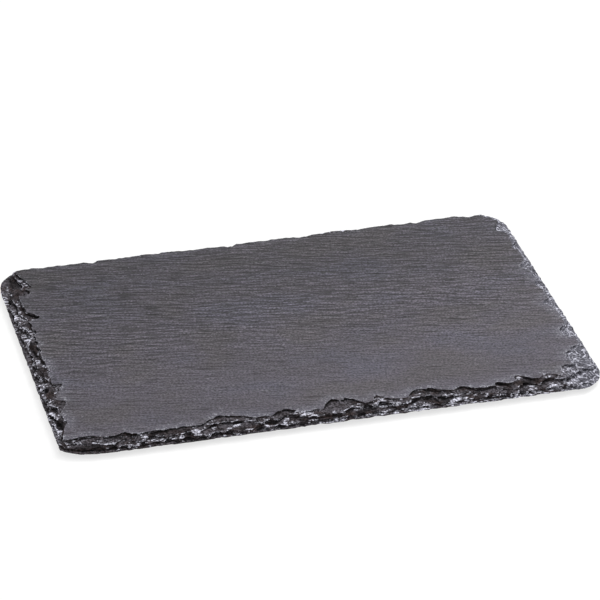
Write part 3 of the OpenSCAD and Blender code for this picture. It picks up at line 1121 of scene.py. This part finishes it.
@dataclass
class Feet:
    """The four stick-on pads and the films that hold them."""

    names: ClassVar[tuple[str, ...]] = ("front_left", "front_right", "back_right", "back_left")
    pad_finish: PadFinish = field(default_factory=PadFinish)
    film_finish: FilmFinish = field(default_factory=FilmFinish)

    def build(self) -> list[bpy.types.Object]:
        """Dresses the pads and films, whose solids have their full form.

        Returns:
            The dressed nodes.
        """
        dressed = []
        for prefix, finish in (("foot_pad_", self.pad_finish), ("foot_film_", self.film_finish)):
            material = finish.make()
            for name in self.names:
                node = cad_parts[prefix + name]
                node.data.materials.clear()
                node.data.materials.append(material)
                dressed.append(node)
        return dressed


@dataclass(frozen=True)
class Lamp:
    """A square soft lamp: where it hangs, the length of its sides, and its power in watts."""

    name: str
    place: Triple
    size: float
    power: float

    def build(self) -> None:
        """Hangs the lamp so that it faces the board."""
        data = bpy.data.lights.new(self.name, "AREA")
        data.size = self.size
        data.energy = self.power
        lamp = bpy.data.objects.new(self.name, data)
        lamp.location = self.place
        lamp.rotation_euler = Vector(self.place).to_track_quat("Z", "Y").to_euler()
        bpy.context.scene.collection.objects.link(lamp)


@dataclass
class Studio:
    """Pale floor, soft lamps and a long lens."""

    target: Triple = (12.8 * MM, 36.3 * MM, 0.0)
    azimuth: float = VIEW_AZIMUTH
    elevation: float = VIEW_ELEVATION
    distance: float = 2026.0 * MM
    lens: float = 216.0
    sensor: float = 36.0
    lamps: tuple[Lamp, ...] = (Lamp("key", (1.5, 1.2, 1.9), 1.3, 46.0),
                               Lamp("front_fill", (-0.7, -1.5, 0.9), 1.4, 5.0),
                               Lamp("overhead", (0.1, -0.3, 1.9), 1.6, 9.0))
    floor_size: float = 12.0
    floor_colour: Triple = (0.85, 0.85, 0.85)
    white: Triple = (1.0, 1.0, 1.0)
    glow: float = 1.15
    glow_share: float = 0.6
    ambient: float = 0.42

    def build(self) -> None:
        """Sets up the camera, the lamps, the world and the floor."""
        self._camera()
        for lamp in self.lamps:
            lamp.build()
        self._world()
        self._floor()
        bpy.context.scene.view_settings.view_transform = "Standard"

    def _camera(self) -> None:
        """Looks at the board from the photograph's angle."""
        data = bpy.data.cameras.new("camera")
        data.lens = self.lens
        data.sensor_width = self.sensor
        data.clip_end = 2 * self.floor_size
        camera = bpy.data.objects.new("camera", data)
        turn = Euler((math.pi / 2 - self.elevation, 0.0, self.azimuth))
        ahead = turn.to_matrix() @ Vector((0.0, 0.0, -1.0))
        camera.location = Vector(self.target) - ahead * self.distance
        camera.rotation_euler = turn
        bpy.context.scene.collection.objects.link(camera)
        bpy.context.scene.camera = camera

    def _world(self) -> None:
        """Shows white to the camera and to gloss, and lights the rest gently."""
        world = bpy.data.worlds.new("studio")
        bpy.context.scene.world = world
        wire = Wiring(world)
        strength = wire.between(self._seen(wire), (self.ambient, 1.0))
        background = wire.add("Background", Color=self.white, Strength=strength)
        wire.add("OutputWorld", Surface=background.outputs[0])

    def _seen(self, wire: Wiring) -> Socket:
        """Gives one for rays from the camera and those that gloss or glass sends on.

        Args:
            wire: Wiring of the world or the floor.

        Returns:
            The share's socket.
        """
        path = wire.tree.nodes.new("ShaderNodeLightPath").outputs
        kinds = ("Is Camera Ray", "Is Glossy Ray", "Is Transmission Ray")
        return reduce(partial(wire.math, "MAXIMUM"), (path[kind] for kind in kinds))

    def _floor(self) -> None:
        """Lays a pale floor that keeps the board's soft shadow."""
        mesh = bmesh.new()
        bmesh.ops.create_grid(mesh, x_segments=1, y_segments=1, size=self.floor_size / 2)
        data = bpy.data.meshes.new("floor")
        mesh.to_mesh(data)
        mesh.free()
        floor = bpy.data.objects.new("floor", data)
        bpy.context.scene.collection.objects.link(floor)
        material = bpy.data.materials.new("pale_floor")
        wire = Wiring(material)
        pale = wire.add("BsdfDiffuse", Color=self.floor_colour)
        glow = wire.add("Emission", Color=self.white, Strength=self.glow)
        share = wire.product(self._seen(wire), self.glow_share)
        both = wire.tree.nodes.new("ShaderNodeMixShader")
        for socket, value in zip(both.inputs, (share, pale.outputs[0], glow.outputs[0])):
            wire.feed(socket, value)
        wire.add("OutputMaterial", Surface=both.outputs[0])
        data.materials.append(material)


def report(piece: bpy.types.Object) -> None:
    """Logs a piece with its number of faces."""
    LOG.info("%s: %d faces", piece.name, len(piece.data.polygons))


def main() -> None:
    """Builds the studio and the board, and reports each piece."""
    logging.basicConfig(level=logging.INFO, format="%(name)s: %(message)s")
    Studio().build()
    report(SlateSlab().build())
    for node in Feet().build():
        report(node)


if __name__ == "__main__":
    main()
